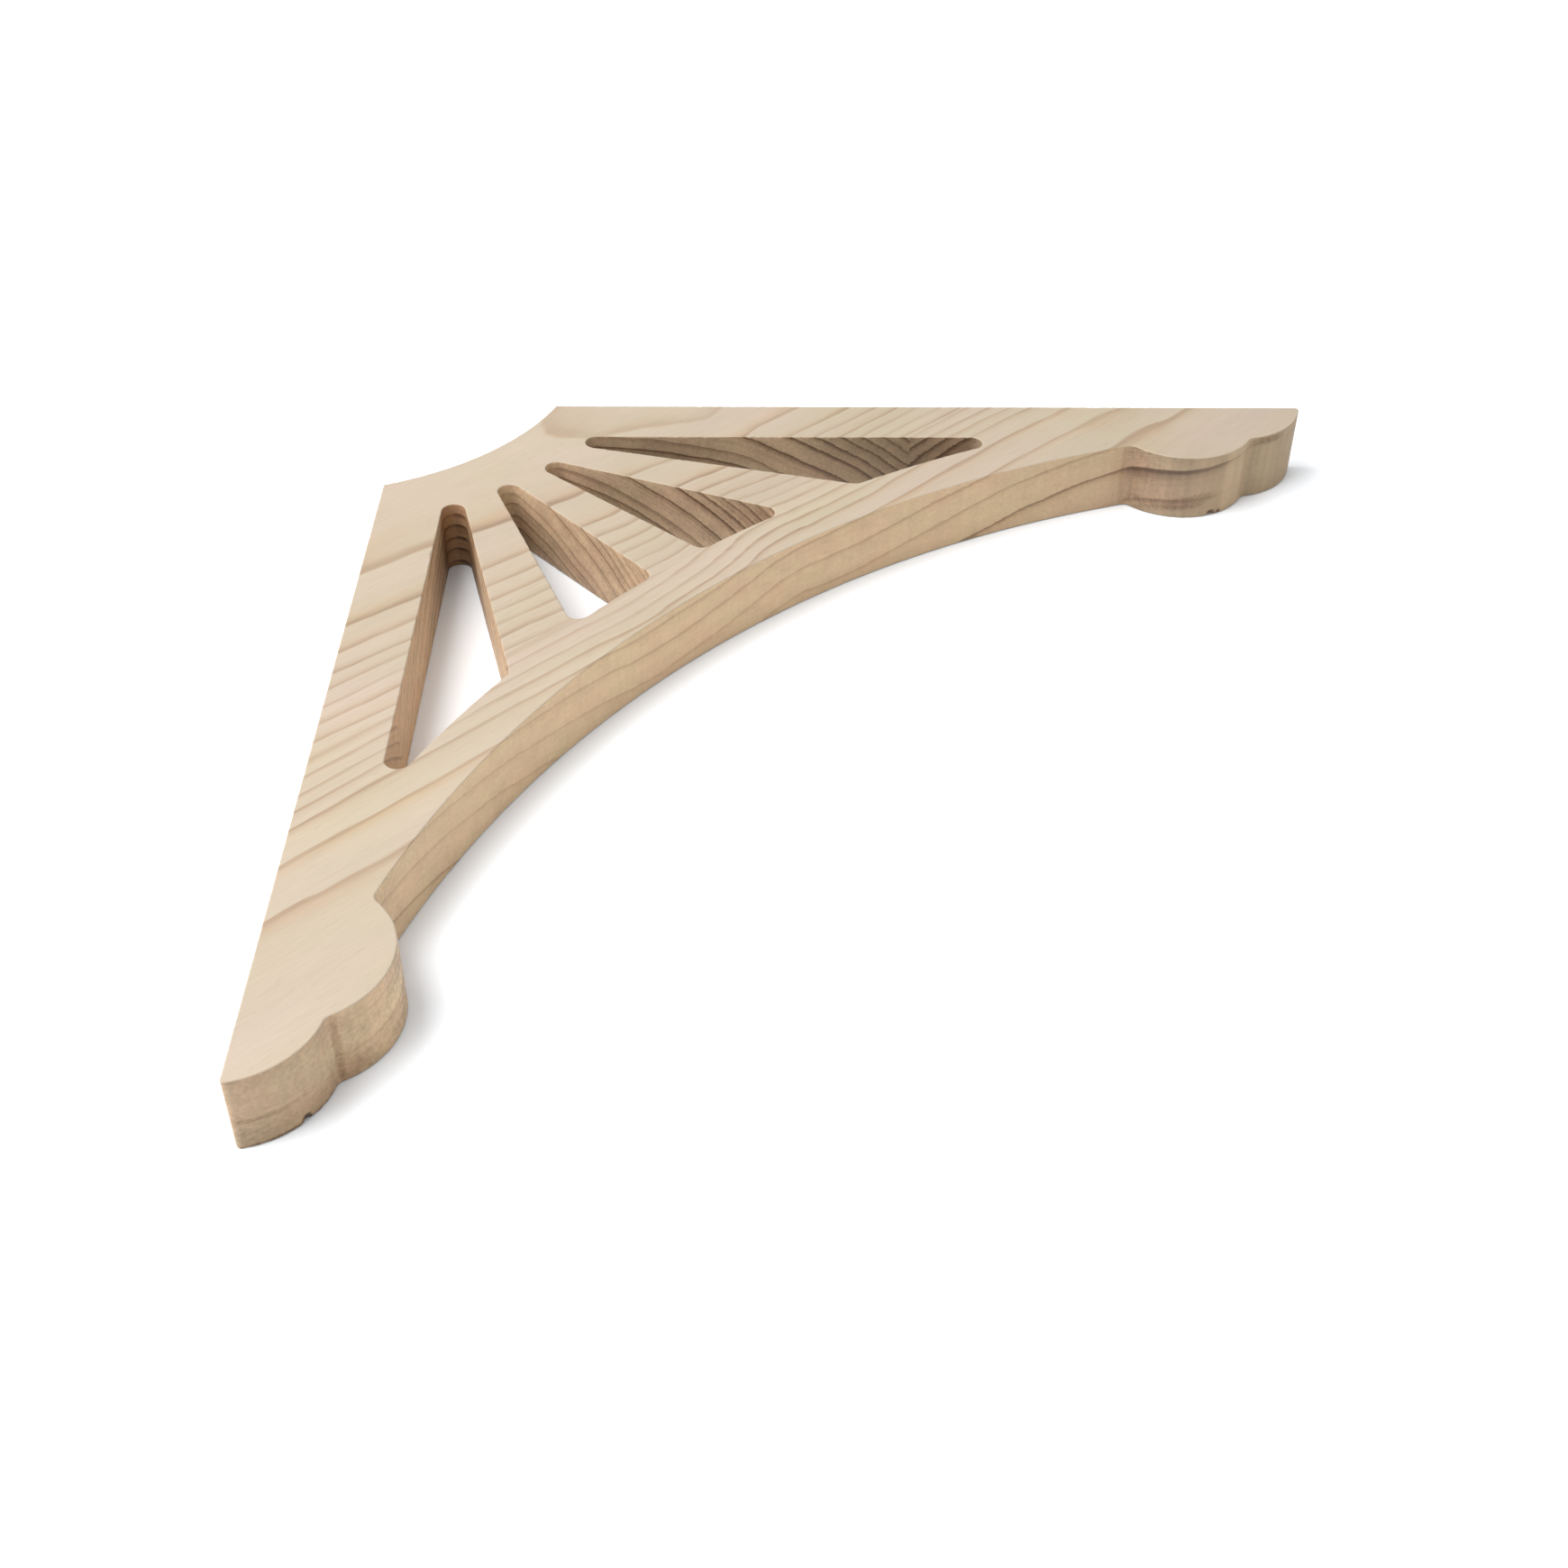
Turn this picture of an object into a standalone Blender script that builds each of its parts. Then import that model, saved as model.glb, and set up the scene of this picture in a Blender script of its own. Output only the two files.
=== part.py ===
"""Corner bracket of fretwork, machined from one glued-up pine board.

The board lies on its underside. X runs along the edge that meets the beam, Y points at that
edge, and Z is up through the thickness. Lengths are in metres. The plan is drawn from the outer
corner, the point where the two straight edges would meet, and is the same on both sides of the
diagonal through that corner.
"""
import math

import bpy
from mathutils import Vector

# Board
LEG = 0.400
THICKNESS = 0.030
ARRIS = 0.0006

# Hollow across the outer corner: radius, and how far its centre lies outside each straight edge
CORNER_HOLLOW_RADIUS = 0.117
CORNER_HOLLOW_OUTSET = 0.042

# Large arc between the legs: radius, and distance of its centre inside each straight edge
ARCH_RADIUS = 0.433
ARCH_INSET = 0.4474
ARCH_BAND = 0.0222

# Two lobes at the end of each leg, cut to one radius: centres from the outer corner
LOBE_RADIUS = 0.032
BIG_LOBE = Vector((0.3453, -0.0124))
END_LOBE = Vector((0.3686, 0.0047))
LOBE_NOTCH_RADIUS = 0.004
TIP_RADIUS = 0.0015

# Slots: angle of each edge below the beam edge, and its distance below the outer corner
SLOT_CORNER_RADIUS = 0.0048
OUTER_SLOT_TOP = (math.radians(0.0), 0.0269)
OUTER_SLOT_FOOT = (math.radians(14.5), 0.0136)
INNER_SLOT_TOP = (math.radians(21.8), 0.0180)
INNER_SLOT_FOOT = (math.radians(41.85), -0.0034)

# Greatest gap between an arc and its chords
CHORD_ERROR = 0.00003

PINE_COLOUR = (0.66, 0.52, 0.38, 1.0)
PINE_ROUGHNESS = 0.62

ARCH_CENTRE = Vector((ARCH_INSET, -ARCH_INSET))


def clear_scene():
    """Removes every object that the file starts with."""
    for old in list(bpy.data.objects):
        bpy.data.objects.remove(old, do_unlink=True)


def arc(centre, radius, start, end):
    """Points on a circle from start to end, the short way round, close enough for CHORD_ERROR."""
    first = math.atan2(start.y - centre.y, start.x - centre.x)
    last = math.atan2(end.y - centre.y, end.x - centre.x)
    sweep = math.remainder(last - first, 2 * math.pi)
    largest = 2 * math.acos(1 - CHORD_ERROR / radius)
    steps = max(1, math.ceil(abs(sweep) / largest))
    angles = [first + sweep * i / steps for i in range(steps + 1)]
    return [centre + radius * Vector((math.cos(a), math.sin(a))) for a in angles]


def circles_meet(centre_a, radius_a, centre_b, radius_b, near):
    """The point where two circles cross, on the side of the point near."""
    apart = centre_b - centre_a
    along = (apart.length_squared + radius_a**2 - radius_b**2) / (2 * apart.length)
    aside = math.sqrt(radius_a**2 - along**2)
    foot = centre_a + apart.normalized() * along
    side = apart.normalized().orthogonal() * aside
    return min((foot + side, foot - side), key=lambda p: (p - near).length)


def ray(edge):
    """Direction of a slot edge, and its normal that points away from the beam edge."""
    angle = edge[0]
    return Vector((math.cos(angle), -math.sin(angle))), Vector((-math.sin(angle), -math.cos(angle)))


def line_meets_circle(edge, shift, centre, radius):
    """Where a slot edge, moved by shift along its normal, first enters a circle."""
    along, normal = ray(edge)
    start = normal * (edge[1] + shift)
    reach = (centre - start).dot(along)
    height = (centre - start - along * reach).length
    return start + along * (reach - math.sqrt(radius**2 - height**2))


def lines_meet(edge_a, shift_a, edge_b, shift_b):
    """Where two slot edges cross once each is moved along its normal."""
    (_, normal_a), (_, normal_b) = ray(edge_a), ray(edge_b)
    a, b = edge_a[1] + shift_a, edge_b[1] + shift_b
    across = normal_a.x * normal_b.y - normal_a.y * normal_b.x
    return Vector((a * normal_b.y - b * normal_a.y, b * normal_a.x - a * normal_b.x)) / across


def mirrored(points):
    """The same points on the other side of the diagonal, in the opposite order."""
    return [Vector((-p.y, -p.x)) for p in reversed(points)]


def half_outline():
    """Outline from the middle of the corner hollow, round the beam leg, to the middle of the arch."""
    hollow = Vector((-CORNER_HOLLOW_OUTSET, CORNER_HOLLOW_OUTSET))
    diagonal = Vector((1.0, -1.0)).normalized()
    beam_start = Vector((math.sqrt(CORNER_HOLLOW_RADIUS**2 - hollow.y**2) + hollow.x, 0.0))
    points = arc(hollow, CORNER_HOLLOW_RADIUS, hollow + diagonal * CORNER_HOLLOW_RADIUS, beam_start)

    tip_reach = LOBE_RADIUS - TIP_RADIUS
    tip_drop = END_LOBE.y + TIP_RADIUS
    tip = Vector((END_LOBE.x + math.sqrt(tip_reach**2 - tip_drop**2), -TIP_RADIUS))
    tip_end = END_LOBE + (tip - END_LOBE).normalized() * LOBE_RADIUS
    points += arc(tip, TIP_RADIUS, Vector((tip.x, 0.0)), tip_end)

    reach = LOBE_RADIUS + LOBE_NOTCH_RADIUS
    notch = circles_meet(END_LOBE, reach, BIG_LOBE, reach, ARCH_CENTRE)
    notch_start = END_LOBE + (notch - END_LOBE).normalized() * LOBE_RADIUS
    notch_end = BIG_LOBE + (notch - BIG_LOBE).normalized() * LOBE_RADIUS
    points += arc(END_LOBE, LOBE_RADIUS, tip_end, notch_start)[1:]
    points += arc(notch, LOBE_NOTCH_RADIUS, notch_start, notch_end)[1:]

    corner = Vector((0.0, 0.0))
    heel = circles_meet(BIG_LOBE, reach, ARCH_CENTRE, ARCH_RADIUS - LOBE_NOTCH_RADIUS, corner)
    heel_start = BIG_LOBE + (heel - BIG_LOBE).normalized() * LOBE_RADIUS
    heel_end = ARCH_CENTRE + (heel - ARCH_CENTRE).normalized() * ARCH_RADIUS
    points += arc(BIG_LOBE, LOBE_RADIUS, notch_end, heel_start)[1:]
    points += arc(heel, LOBE_NOTCH_RADIUS, heel_start, heel_end)[1:]
    points += arc(ARCH_CENTRE, ARCH_RADIUS, heel_end, ARCH_CENTRE - diagonal * ARCH_RADIUS)[1:]
    return points


def outline():
    """The whole outer edge of the board, once round."""
    half = half_outline()
    return half + mirrored(half)[1:-1]


def slot(top, foot):
    """A tapered slot between two edges and an arc that runs beside the arch, with round corners."""
    round_radius = SLOT_CORNER_RADIUS
    base_radius = ARCH_RADIUS + ARCH_BAND
    top_normal, foot_normal = ray(top)[1], ray(foot)[1]
    narrow = lines_meet(top, round_radius, foot, -round_radius)
    upper = line_meets_circle(top, round_radius, ARCH_CENTRE, base_radius + round_radius)
    lower = line_meets_circle(foot, -round_radius, ARCH_CENTRE, base_radius + round_radius)
    upper_base = ARCH_CENTRE + (upper - ARCH_CENTRE).normalized() * base_radius
    lower_base = ARCH_CENTRE + (lower - ARCH_CENTRE).normalized() * base_radius
    points = arc(upper, round_radius, upper - top_normal * round_radius, upper_base)
    points += arc(ARCH_CENTRE, base_radius, upper_base, lower_base)[1:]
    points += arc(lower, round_radius, lower_base, lower + foot_normal * round_radius)[1:]
    narrow_end = narrow - top_normal * round_radius
    points += arc(narrow, round_radius, narrow + foot_normal * round_radius, narrow_end)
    return points


def slots():
    """The four slots, fanned out from the outer corner."""
    beam_side = [slot(OUTER_SLOT_TOP, OUTER_SLOT_FOOT), slot(INNER_SLOT_TOP, INNER_SLOT_FOOT)]
    return beam_side + [mirrored(points) for points in beam_side]


def pine():
    """Plain unpainted pine, planed."""
    material = bpy.data.materials.new("pine")
    material.use_nodes = True
    shader = material.node_tree.nodes["Principled BSDF"]
    shader.inputs["Base Color"].default_value = PINE_COLOUR
    shader.inputs["Roughness"].default_value = PINE_ROUGHNESS
    shader.inputs["Metallic"].default_value = 0.0
    return material


def fretwork_bracket(collection):
    """The board as a flat outline with its slots, given its thickness and lightly eased arrises."""
    curve = bpy.data.curves.new("fretwork_bracket", "CURVE")
    curve.dimensions = "2D"
    curve.fill_mode = "BOTH"
    curve.extrude = THICKNESS / 2
    for loop in [outline()] + slots():
        spline = curve.splines.new("POLY")
        spline.points.add(len(loop) - 1)
        spline.use_cyclic_u = True
        for point, place in zip(spline.points, loop):
            point.co = (place.x, place.y, 0.0, 1.0)
    board = bpy.data.objects.new("fretwork_bracket", curve)
    board.location = (-LEG / 2, LEG / 2, THICKNESS / 2)
    board.data.materials.append(pine())
    collection.objects.link(board)

    weld = board.modifiers.new("close_caps", "WELD")
    weld.merge_threshold = 0.00001
    ease = board.modifiers.new("eased_arris", "BEVEL")
    ease.limit_method = "ANGLE"
    ease.angle_limit = math.radians(60)
    ease.width = ARRIS
    ease.segments = 1
    return board


def main():
    clear_scene()
    collection = bpy.data.collections.new("corner_bracket")
    bpy.context.scene.collection.children.link(collection)
    fretwork_bracket(collection)


main()
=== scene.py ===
"""Looks of a fretwork corner bracket: one pine board, glued up from two staves, planed and routed.

The board lies on its underside on a pale floor. Its surface is a profile carried round the edge of
the plan and round each of its four slots, closed above and below by flat faces. The pine is a solid
pattern: each stave has its own pith, and the growth rings are rings about it, so that a line on a
face runs on down the wall beside it as it does in a real board.

Lengths are metres, except in the grain of the wood, which is drawn in millimetres. The fibre runs
from leg to leg, and distances along it count from the board's diagonal. Distances across it count
from the outer corner, where the two straight edges would meet.
"""

import logging
import math
from dataclasses import dataclass, field
from enum import Enum
from typing import Any, Mapping, Sequence

import bpy
import numpy as np
from mathutils import Matrix, Vector
from mathutils.geometry import delaunay_2d_cdt


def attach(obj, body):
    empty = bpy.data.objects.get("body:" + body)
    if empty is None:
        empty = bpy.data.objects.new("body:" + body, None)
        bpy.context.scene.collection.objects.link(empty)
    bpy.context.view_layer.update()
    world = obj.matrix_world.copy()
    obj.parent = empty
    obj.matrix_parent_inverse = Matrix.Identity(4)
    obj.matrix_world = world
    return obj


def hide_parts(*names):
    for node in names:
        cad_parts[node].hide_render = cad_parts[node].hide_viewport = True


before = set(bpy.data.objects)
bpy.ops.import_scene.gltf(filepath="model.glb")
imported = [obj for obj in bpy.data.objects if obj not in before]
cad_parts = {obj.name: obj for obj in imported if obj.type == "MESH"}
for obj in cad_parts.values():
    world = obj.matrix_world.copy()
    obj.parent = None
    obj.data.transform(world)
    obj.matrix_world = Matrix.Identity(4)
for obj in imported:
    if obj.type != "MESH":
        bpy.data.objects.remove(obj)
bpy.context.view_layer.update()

LOG = logging.getLogger("bracket")
MM = 0.001
THICKNESS_MM = 30.0

# Longest chord of an arc, sharpest turn between two chords, and the gap at which two points are one
STEP = 0.8 * MM
TURN = math.radians(9)
SAME_POINT = 1e-7

# What a triangulation fills, and how near its points meet
WHOLE_HULL = 0
MEETING = 1e-9

# Most of Blender's noise lies between these
NOISE_LOW = 0.3
NOISE_HIGH = 0.7

# What sets a Mix node to colours, which it then takes at 6 and 7 (numbers go in at 2 and 3)
COLOURS = {"out": 2, "data_type": "RGBA"}
MULTIPLIED = COLOURS | {"blend_type": "MULTIPLY"}
SMOOTH_STEP = {"interpolation_type": "SMOOTHSTEP"}

# Points of a curve, each a place and a value. A ramp: two places, then the value at each of them
Curve = Sequence[tuple[float, float]]
Ramp = tuple[float, float, float, float]
Triple = tuple[float, float, float]
# Points of the plan as complex numbers, and a node's output or the plain value that stands for it
Plan = np.ndarray
Link = Any


def linear(colour: str) -> tuple[float, float, float, float]:
    """Turns an sRGB colour into the linear one that a shader takes.

    Each channel c is c / 12.92 up to 0.04045, and ((c + 0.055) / 1.055) to the power 2.4 above it.

    Args:
        colour: six hex digits, such as "e3cbb3".

    Returns:
        Linear red, green and blue, and an alpha of 1.
    """
    channels = np.array([int(colour[i:i + 2], 16) for i in (0, 2, 4)]) / 255.0
    light = np.where(channels <= 0.04045, channels / 12.92, ((channels + 0.055) / 1.055) ** 2.4)
    return (float(light[0]), float(light[1]), float(light[2]), 1.0)


class Graph:
    """A material's node tree, filled one node at a time."""

    def __init__(self, material: bpy.types.Material) -> None:
        """Empties the material's tree, ready for its nodes.

        Args:
            material: the material.
        """
        material.use_nodes = True
        self.tree = material.node_tree
        self.tree.nodes.clear()

    def add(
        self,
        kind: str,
        inputs: Mapping[Any, Link] | Sequence[Link] = (),
        out: int | str = 0,
        curve: Curve | None = None,
        smooth: bool = False,
        **settings: Any,
    ) -> bpy.types.NodeSocket | None:
        """Adds a node with its settings and links.

        Args:
            kind: Blender's name for the node's type, after "ShaderNode", and for a sum, after a
                space, its operation.
            inputs: what it takes, links or values, in order, or each by its input's name or number.
            out: which output is returned, by name or number.
            curve: for a node with a curve, its points from 0 to 1.
            smooth: whether that curve is rounded at its points.
            settings: the node's own properties.

        Returns:
            The chosen output, for the next node to take, if the node has any.
        """
        kind, _, operation = kind.partition(" ")
        node = self.tree.nodes.new("ShaderNode" + kind)
        if operation:
            node.operation = operation
        for name, value in settings.items():
            setattr(node, name, value)
        given = inputs if isinstance(inputs, dict) else dict(enumerate(inputs))
        for name, value in given.items():
            if isinstance(value, bpy.types.NodeSocket):
                self.tree.links.new(value, node.inputs[name])
            else:
                node.inputs[name].default_value = value
        if curve is not None:
            points = node.mapping.curves[0].points
            for place in curve[2:]:
                points.new(*place)
            for point, place in zip(points, sorted(curve)):
                point.location = place
                point.handle_type = "AUTO_CLAMPED" if smooth else "VECTOR"
            node.mapping.update()
        return node.outputs[out] if len(node.outputs) else None


@dataclass(frozen=True)
class Figure:
    """A pattern of smooth noise in the wood.

    Attributes:
        counts: how many of its grains lie in 100 mm along the fibre, across it, and upwards.
        detail: how many finer layers lie over the first.
        low: about the least that it gives.
        high: about the most.
    """

    counts: Triple
    detail: float
    low: float
    high: float


class Lie(Enum):
    """Which way a stave lies from the glue line."""

    CORNER = "towards the outer corner"
    ARCH = "towards the arch"


@dataclass(frozen=True)
class Stave:
    """One stave of the board, with the tree's pith below it. All in millimetres.

    Attributes:
        pith: how far from the outer corner its pith runs, across the fibre.
        depth: how deep the pith lies below the top face, at stations along the fibre.
        wander: how far the grain swings aside, at stations along the fibre.
        rings: each growth ring's outer radius about the pith, and how dark its latewood is.
        cut: how clearly the rings show on the walls, at stations along the fibre.
        bleed: how many times wider their dark wood is there than elsewhere.
    """

    pith: float
    depth: Curve
    wander: Curve
    rings: Curve
    cut: Curve
    bleed: Curve = ((-290, 1.0), (290, 1.0))


STAVES: dict[Lie, Stave] = {
    Lie.CORNER: Stave(
        pith=68.0,
        depth=((-290, 140), (-120, 140.5), (-87, 140), (-50, 138.5), (0, 136.5), (20, 134.6),
               (45, 132.7), (70, 131.3), (100, 128.1), (140, 127.4), (290, 127)),
        wander=((-290, -9), (-170, -4.2), (-120, -0.3), (-87, 1.0), (0, 1.0), (20, -2.6),
                (45, -2.6), (70, -1.1), (100, -6.3), (140, -7.8), (290, -8)),
        rings=((92, 0.8), (98.5, 0.8), (105, 0.9), (111, 0.8), (117, 1.0), (122.6, 0.9),
               (128.6, 1.0), (133.7, 0.45), (142.5, 1.0), (150.3, 0.9), (154.9, 0.85),
               (159.5, 0.85), (163.4, 0.6), (167.7, 0.5), (171.8, 0.75), (176.3, 0.75),
               (180.5, 0.5), (185, 0.6)),
        cut=((-290, 0.12), (-225, 0.15), (-200, 0.35), (-90, 0.45), (-76, 0.85), (-52, 0.85),
             (-47, 0.85), (-44, 1.4), (-36, 1.4), (-30, 0.85), (-20, 0.52), (10, 0.62), (30, 0.85),
             (60, 0.95), (110, 1.2), (290, 1.2)),
    ),
    Lie.ARCH: Stave(
        pith=268.0,
        depth=((-290, 89), (-60, 89), (0, 88.9), (35, 85.6), (80, 82.9), (200, 79.8), (215, 78.8),
               (226, 77.4), (240, 76.7), (290, 76)),
        wander=((-290, 0), (-240, 0.2), (-180, 1.2), (-120, 1.8), (-60, 1.9), (-45, 2.6),
                (-20, 1.2), (0, -0.8), (20, -3.5), (35, -4.7), (60, -1.5), (100, 2.2), (170, 3.3),
                (200, 6), (215, 9), (226, 14), (240, 17), (290, 18)),
        rings=((30, 0.5), (44, 0.5), (58, 0.2), (72.9, 1.4), (85.1, 0.65), (94.4, 0.7),
               (103.2, 0.8), (110.1, 0.85), (114.5, 0.85), (118.9, 0.7), (123.7, 0.6),
               (127.5, 0.5)),
        cut=((-290, 0.1), (-235, 0.12), (-222, 0.35), (-150, 0.45), (0, 0.55), (60, 0.65),
             (120, 0.8), (200, 0.9), (226, 0.9), (229, 0.5), (242, 0.2), (290, 0.12)),
        bleed=((-290, 1.0), (196, 1.0), (204, 1.9), (224, 2.1), (232, 1.2), (290, 1.2)),
    ),
}


@dataclass(frozen=True)
class Mark:
    """A darker patch on a wall, with soft edges: some are dull marks in the wood, some painted shade
    in a crease, a chip or at the foot. All in millimetres.

    Attributes:
        along: its middle along the fibre.
        half_along: half its length.
        height: its middle above the underside.
        half_height: half its height.
        strength: how much it darkens the wood.
        slope: how much it climbs along the fibre.
    """

    along: float
    half_along: float
    height: float
    half_height: float
    strength: float
    slope: float = 0.0


@dataclass(frozen=True)
class Shades:
    """The colours of one kind of wood.

    Attributes:
        face: on the planed faces.
        side: on a wall cut along the fibre.
        end: on a wall cut across it.
    """

    face: str
    side: str
    end: str


@dataclass(frozen=True)
class Spot:
    """Where a point lies in the wood, in millimetres, and shares that tell what it is part of.

    Attributes:
        place: the next three as a vector.
        along: distance along the fibre.
        across: distance across the fibre.
        height: height above the underside.
        far: 1 in the arch's stave and 0 in the corner's.
        wall: 1 on a wall and 0 on a planed face.
        end: 1 where the cut crosses the fibre.
        seen: 0 on the straight edges and the hollow, which the photograph hides, and 1 elsewhere.
        arch: 1 on the arch, the lobes and all that lies as far out.
        outer: 1 on the arch and the lobes alone.
        in_slot: 1 on the slots' walls.
    """

    place: Link
    along: Link
    across: Link
    height: Link
    far: Link
    wall: Link
    end: Link
    seen: Link
    arch: Link
    outer: Link
    in_slot: Link


@dataclass(frozen=True)
class PlanedPine:
    """Radiata pine, planed on its faces and routed on its edges, unfinished.

    The planed face gives the eye a pale cream ground with thin tan lines, crisp on the bark side of
    each ring and feathered by the fibres. Where the cutter crossed the fibre the open cells drink
    the light, so the end grain is browner and mottled, and its rings are dark. The left lobes'
    walls are darker towards the bottom. Painted light and shade lie on the walls as well: their
    tone along the fibre is partly painted, the walls' colours are partly painted light, and
    painted shade darkens the creases of the notches and of a heel, the chips, the foot of the small
    left lobe and the narrow end of the left slot. The wood's fibres, pores and resin canals are too
    fine for the picture, so they are drawn several times as coarse as they are.

    Attributes:
        name: the material's name.
        early, tint, late: pale wood, the warmer wood that leads up to a ring's dark line, and that
            line.
        early_roughness, late_roughness: the sheen of pale wood and of a dark line.
        ior: index of refraction of dry wood.
        glue_line: where the two staves meet, across the fibre.
        corner_to_centre: from the outer corner to the board's own middle.
        arch_lift: how much lighter the arch's stave is.
        slot_crisp: how much clearer its rings are in the slots.
        fade: how dark a ring is at each distance inside its edge.
        lead: how warm it is at each such distance.
        ring_warmth: how full the warm wood is, from a narrow ring to a wide one.
        last_ring: the width of each stave's outermost ring.
        bark_side: the soft side towards the bark, from full dark to none.
        swing, lift, fray: how the grain strays aside and upwards, and how fibres shift its lines.
        fine: thin bands within the rings. fine_bands: how clear they are, and how much more on
            end grain.
        broad_end: how much end grain broadens the dark lines.
        patchy, drift: where the lines and the warm wood are clearer on the planed faces.
        casts, stains: the wood's greenish and reddish patches, on the faces and on the walls.
        cast, stain: where each of the two lies. cast_share, stain_share: how much they count.
        fibres, broad_tone, pores, mottle: lighter and darker wood, from broad patches to pores.
        canals, canal_depth, specks, speck_depth: thin resin canals and dark specks.
        dwell: upright streaks that the cutter left.
        open_cells: how rough the cut is along the fibre, and how much more on end grain.
        end_grain, upright: what counts as end grain, by the share of the fibre that points out of
            the surface, and as a wall, by how far the surface faces up.
        off_edge, off_hollow: how the seen walls start, off the straight edges and the hollow.
        arch_from: how far across the fibre the arch's wall starts, at stations along the fibre.
        slot_tone_and_painted_shade, arch_tone_and_painted_shade: how light the slots' walls are,
        and the arch's and the lobes', at stations along the fibre: partly the wood's own tone and
        partly painted light and shade, darkest at the narrow end of the left slot. plain_shade:
        the straight edges and the hollow.
        brown_of_marks_and_painted_shade, slot_end_painted_shade: the brown that the marks and the
        painted shade take, and painted shade, dark and warm, on the slots' walls at stations along
        the fibre, which falls at the narrow end of the left slot.
        coarse, streaks: how coarse the cut is, and how clear its upright streaks, at such stations.
        plain_coarse: how coarse it is on the straight edges and the hollow.
        marks: darker patches on the lobes, some dull marks in the wood and some painted shade in
        the creases, the chips and at the foot. mark_rim: how a mark ends, in its own half sizes.
        mark_fray: how much the pores fray it.
    """

    name: str = "planed_radiata_pine"
    # Partly painted light: the walls' colours are set as light as the face's or lighter, to make up
    # for the light that reaches the walls; routed wood is also browner
    early: Shades = Shades(face="9d9283", side="ae9a7d", end="a28e76")
    tint: Shades = Shades(face="9f8768", side="a58d6b", end="8b735b")
    late: Shades = Shades(face="816e5a", side="7c644a", end="58432f")
    early_roughness: float = 0.66
    late_roughness: float = 0.5
    ior: float = 1.5
    glue_line: float = 177.5
    corner_to_centre: float = 282.843
    arch_lift: float = 0.022
    slot_crisp: float = 0.6

    fade: Curve = ((0.0, 1.0), (0.3, 0.9), (0.65, 0.5), (1.1, 0.2), (2.0, 0.05), (4.0, 0.0))
    lead: Curve = ((0.0, 1.0), (1.0, 0.7), (2.2, 0.35), (3.5, 0.12), (6.0, 0.0))
    ring_warmth: Ramp = (4.0, 9.0, 0.35, 0.95)
    last_ring: float = 6.0
    bark_side: Ramp = (0.0, 0.4, 1.0, 0.0)
    swing: Figure = Figure((1.2, 4.0, 4.0), 2.0, -0.9, 0.9)
    lift: Figure = Figure((1.5, 5.0, 5.0), 2.0, -0.5, 0.5)
    fray: Figure = Figure((4.0, 80.0, 80.0), 3.0, -0.4, 0.4)
    fine: Figure = Figure((0.6, 65.0, 10.0), 3.0, -1.0, 1.0)
    fine_bands: tuple[float, float] = (0.05, 0.19)
    broad_end: float = -0.5
    patchy: Figure = Figure((1.2, 7.0, 7.0), 1.0, 0.55, 1.1)
    drift: Figure = Figure((1.5, 9.0, 9.0), 1.0, 0.3, 1.1)

    casts: tuple[str, str] = ("f4f1dc", "fff2f0")
    cast: Figure = Figure((1.2, 3.5, 3.5), 2.0, 0.0, 1.0)
    cast_share: float = 0.5
    stains: tuple[str, str] = ("f4edd7", "ffdfd2")
    stain: Figure = Figure((5.0, 5.0, 9.0), 2.0, 0.0, 1.0)
    stain_share: float = 0.8
    fibres: Figure = Figure((7.0, 130.0, 130.0), 3.0, -0.04, 0.04)
    broad_tone: Figure = Figure((0.8, 5.0, 5.0), 1.0, -0.03, 0.03)
    canals: Figure = Figure((16.0, 140.0, 140.0), 1.0, 0.0, 1.0)
    canal_depth: Ramp = (0.97, 1.27, 0.0, 0.17)
    pores: Figure = Figure((70.0, 70.0, 70.0), 4.0, -0.13, 0.13)
    mottle: Figure = Figure((11.0, 11.0, 16.0), 3.0, -0.11, 0.11)
    specks: Figure = Figure((90.0, 90.0, 90.0), 2.0, 0.0, 1.0)
    speck_depth: Ramp = (0.8, 1.2, 0.0, 0.2)
    dwell: Figure = Figure((35.0, 35.0, 1.0), 4.0, -0.08, 0.08)
    open_cells: tuple[float, float] = (0.4, 0.6)

    end_grain: Ramp = (0.3, 0.9, 0.0, 1.0)
    upright: Ramp = (0.8, 0.2, 0.0, 1.0)
    off_edge: Ramp = (1.0, 4.0, 0.0, 1.0)
    off_hollow: Ramp = (62.0, 66.0, 0.0, 1.0)
    arch_from: Curve = ((-290, 230), (-195, 230), (-100, 200), (0, 188.7), (100, 200), (195, 230),
                        (290, 230))
    # Painted light and shade, in part: how light the slots' walls are along the fibre, darkest at the
    # narrow end of the left slot
    slot_tone_and_painted_shade: Curve = (
        (-290, 1.36), (-75, 1.48), (-62, 1.3), (-49, 1.18), (-42, 0.8), (-37, 0.8), (-30, 1.22),
        (10, 1.25), (28, 0.99), (50, 0.99), (58, 0.88), (67, 0.86), (80, 0.98), (95, 1.0),
        (110, 0.87), (150, 0.68), (290, 0.68),
    )
    # Painted light and shade, in part: how light the arch's and the lobes' walls are along the fibre
    arch_tone_and_painted_shade: Curve = (
        (-290, 0.73), (-276, 0.77), (-262, 0.86), (-250, 0.92), (-235, 1.03), (-215, 1.19),
        (-60, 1.24), (60, 1.19), (170, 1.03), (196, 0.95), (206, 0.79), (225.5, 0.71),
        (228.5, 0.84), (244, 0.88), (247, 0.67), (258, 0.71), (290, 0.75),
    )
    plain_shade: float = 1.1
    # The brown that the marks and the painted shade take
    brown_of_marks_and_painted_shade: str = "ffd9b0"
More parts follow.
